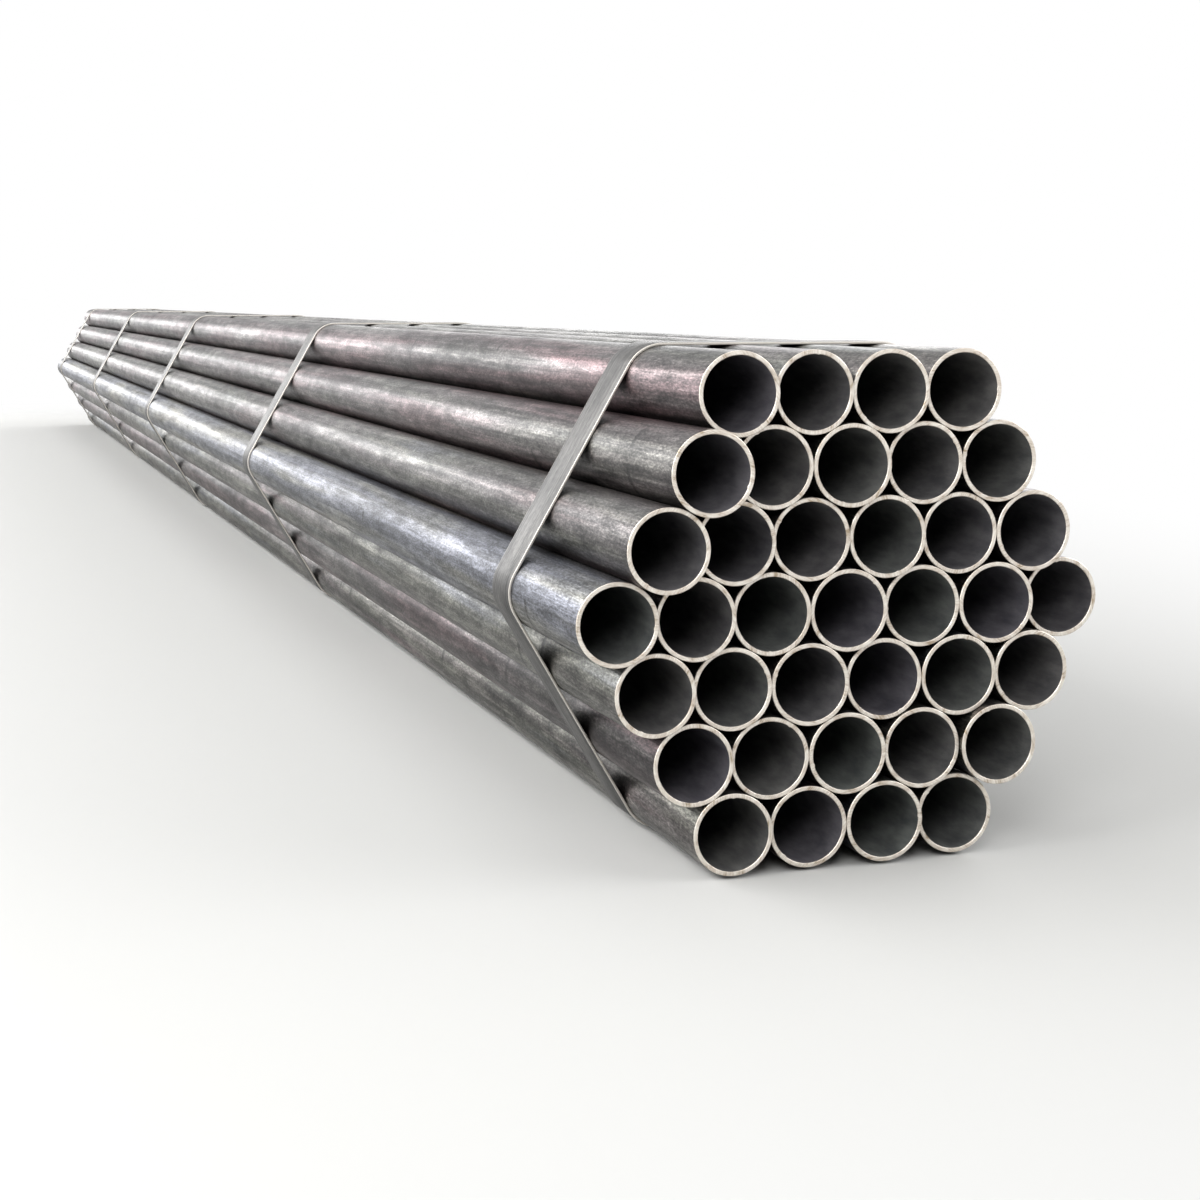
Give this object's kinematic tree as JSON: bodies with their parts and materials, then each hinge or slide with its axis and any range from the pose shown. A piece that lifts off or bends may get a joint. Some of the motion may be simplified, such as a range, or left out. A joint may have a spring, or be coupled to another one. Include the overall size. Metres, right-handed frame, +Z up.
{
  "type": "bundle of steel pipes",
  "caption": "Hexagonal bundle of welded black steel pipes in stock length, nested close together and held by flat steel bands.",
  "frame": {"origin": "on the floor under the middle of the bundle", "axes": "+X along the pipes, towards the end where some pipes stand out; +Y across the bundle, +Z up"},
  "size_m": [6.067, 0.4274, 0.3789],
  "materials": {
    "pipe_steel": "black hot-rolled welded pipe with thin mill scale, dusty, ends sawn bright",
    "band_steel": "flat hot-rolled band, dull grey, edges sheared bright"
  },
  "bodies": {
    "root": {"pipe_row1_1": "pipe_steel", "pipe_row1_2": "pipe_steel", "pipe_row1_3": "pipe_steel", "pipe_row1_4": "pipe_steel", "pipe_row2_1": "pipe_steel", "pipe_row2_2": "pipe_steel", "pipe_row2_3": "pipe_steel", "pipe_row2_4": "pipe_steel", "pipe_row2_5": "pipe_steel", "pipe_row3_1": "pipe_steel", "pipe_row3_2": "pipe_steel", "pipe_row3_3": "pipe_steel", "pipe_row3_4": "pipe_steel", "pipe_row3_5": "pipe_steel", "pipe_row3_6": "pipe_steel", "pipe_row4_1": "pipe_steel", "pipe_row4_2": "pipe_steel", "pipe_row4_3": "pipe_steel", "pipe_row4_4": "pipe_steel", "pipe_row4_5": "pipe_steel", "pipe_row4_6": "pipe_steel", "pipe_row4_7": "pipe_steel", "pipe_row5_1": "pipe_steel", "pipe_row5_2": "pipe_steel", "pipe_row5_3": "pipe_steel", "pipe_row5_4": "pipe_steel", "pipe_row5_5": "pipe_steel", "pipe_row5_6": "pipe_steel", "pipe_row6_1": "pipe_steel", "pipe_row6_2": "pipe_steel", "pipe_row6_3": "pipe_steel", "pipe_row6_4": "pipe_steel", "pipe_row6_5": "pipe_steel", "pipe_row7_1": "pipe_steel", "pipe_row7_2": "pipe_steel", "pipe_row7_3": "pipe_steel", "pipe_row7_4": "pipe_steel", "strap_1": "band_steel", "strap_2": "band_steel", "strap_3": "band_steel", "strap_4": "band_steel", "strap_5": "band_steel"}
  },
  "joints": []
}
